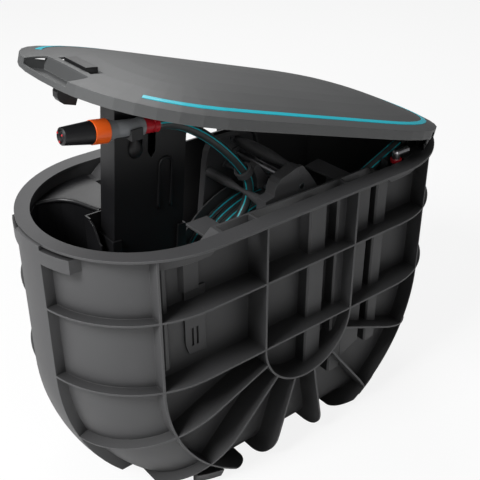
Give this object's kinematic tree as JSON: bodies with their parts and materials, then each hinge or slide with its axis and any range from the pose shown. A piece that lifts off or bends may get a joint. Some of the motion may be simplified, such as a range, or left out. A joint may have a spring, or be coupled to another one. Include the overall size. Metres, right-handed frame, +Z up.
{
  "type": "retractable hose box",
  "caption": "Ribbed garden hose tub with a hinged lid, a rising nozzle tower and a geared hose reel inside.",
  "frame": {"origin": "on the floor under the middle of the tub, on the tub's flat base", "axes": "+X along the tub to the hinge end, +Y across it, away from the side with the water inlet, +Z up"},
  "size_m": [0.802, 0.4, 0.7422],
  "materials": {
    "tub_plastic": "matt dark grey moulding",
    "lid_plastic": "matt grey moulding with a fine grain",
    "teal_plastic": "teal strip, slight gloss",
    "dark_plastic": "near black moulding",
    "reel_plastic": "dark grey moulding",
    "steel": "bright steel",
    "nozzle_grey": "grey soft grip",
    "orange_plastic": "orange ring",
    "red_plastic": "red coupling",
    "hose_vinyl": "dark hose with teal lines",
    "gear_plastic": "light grey gear plastic"
  },
  "bodies": {
    "frame": {"tub": "tub_plastic", "storage_tray": "dark_plastic", "connector_cover": "tub_plastic", "hinge_bracket": "tub_plastic", "hinge_pin": "steel", "hinge_ear": "lid_plastic", "tower_guide": "dark_plastic", "reel_plate_near": "reel_plastic", "reel_plate_far": "reel_plastic", "axle_bushes": "gear_plastic", "idler_stud": "steel", "guide_top_bar": "reel_plastic", "guide_rod": "steel", "roller_pins": "steel", "spring_case": "reel_plastic", "drive_spring": "steel", "swivel_elbow": "dark_plastic", "supply_hose": "hose_vinyl", "supply_socket": "dark_plastic", "supply_connector": "steel", "supply_ring": "red_plastic", "rear_strut": "reel_plastic"},
    "lid": {"lid_shell": "lid_plastic", "lid_trim": "teal_plastic", "lid_bracket": "lid_plastic", "latch_housing": "dark_plastic"},
    "lid_lock": {"lock_slider": "dark_plastic"},
    "latch": {"latch_hook": "dark_plastic"},
    "upper_leaf": {"hinge_leaf_1": "lid_plastic"},
    "lower_leaf": {"hinge_leaf_2": "lid_plastic"},
    "tower": {"tower_shell": "dark_plastic", "tower_pin": "steel", "nozzle_cradle": "dark_plastic", "nozzle_body": "nozzle_grey", "nozzle_coupling": "red_plastic", "feed_hose": "hose_vinyl"},
    "nozzle_head": {"nozzle_ring": "orange_plastic", "nozzle_tip": "dark_plastic"},
    "drum": {"reel_axle": "steel", "reel_spool": "reel_plastic", "inner_turns": "hose_vinyl", "wound_hose": "hose_vinyl", "hose_stub": "hose_vinyl", "reel_gear": "gear_plastic"},
    "idler": {"idler_gear": "gear_plastic"},
    "screw": {"guide_screw": "steel", "screw_gear": "gear_plastic"},
    "carriage": {"hose_carriage": "reel_plastic"},
    "roller": {"guide_roller": "reel_plastic"}
  },
  "joints": [
    {"name": "lid_hinge", "type": "hinge", "parent": "frame", "child": "lid", "pos_m": [0.366, 0, 0.512], "axis": [0, 1, 0], "range_deg": [-17.4, 0]},
    {"name": "upper_leaf_fold", "type": "hinge", "parent": "frame", "child": "upper_leaf", "pos_m": [0.366, 0, 0.512], "axis": [0, 1, 0], "range_deg": [-11.7, 0]},
    {"name": "lower_leaf_fold", "type": "hinge", "parent": "frame", "child": "lower_leaf", "pos_m": [0.366, 0, 0.512], "axis": [0, 1, 0], "range_deg": [-5.9, 0]},
    {"name": "tower_slide", "type": "slide", "parent": "frame", "child": "tower", "axis": [0.0872, 0, 0.9962], "range_m": [-0.171, 0], "deforming": ["feed_hose"]},
    {"name": "nozzle_twist", "type": "hinge", "parent": "tower", "child": "nozzle_head", "pos_m": [-0.208, -0.028, 0.635], "axis": [-0.9903, 0, 0.1392], "range_deg": [-90, 90]},
    {"name": "drum_spin", "type": "hinge", "parent": "frame", "child": "drum", "pos_m": [0.05, 0, 0.262], "axis": [0, 1, 0], "continuous": true, "deforming": ["feed_hose"]},
    {"name": "idler_spin", "type": "hinge", "parent": "frame", "child": "idler", "pos_m": [0.04278, 0.069, 0.39981], "axis": [0, 1, 0], "continuous": true},
    {"name": "screw_spin", "type": "hinge", "parent": "frame", "child": "screw", "pos_m": [0.03791, 0.069, 0.49268], "axis": [0, 1, 0], "continuous": true},
    {"name": "carriage_slide", "type": "slide", "parent": "frame", "child": "carriage", "axis": [0, 1, 0], "range_m": [-0.03, 0.07], "deforming": ["feed_hose"]},
    {"name": "roller_spin", "type": "hinge", "parent": "frame", "child": "roller", "pos_m": [-0.03, -0.045, 0.478], "axis": [0, 1, 0], "continuous": true},
    {"name": "latch_pivot", "type": "hinge", "parent": "lid", "child": "latch", "pos_m": [-0.30711, 0.012, 0.70827], "axis": [0, 1, 0], "range_deg": [-8, 8], "stiffness_Nm_per_rad": 0.05},
    {"name": "lock_slide", "type": "slide", "parent": "lid", "child": "lid_lock", "axis": [0, 1, 0], "range_m": [-0.012, 0.012]}
  ],
  "couplings": [
    {"joint": "upper_leaf_fold", "follows": "lid_hinge", "ratio": 0.66667},
    {"joint": "lower_leaf_fold", "follows": "lid_hinge", "ratio": 0.33333},
    {"joint": "tower_slide", "follows": "lid_hinge", "m_per_rad": 0.563},
    {"joint": "idler_spin", "follows": "drum_spin", "ratio": -1.1905},
    {"joint": "screw_spin", "follows": "drum_spin", "ratio": 2.5}
  ]
}
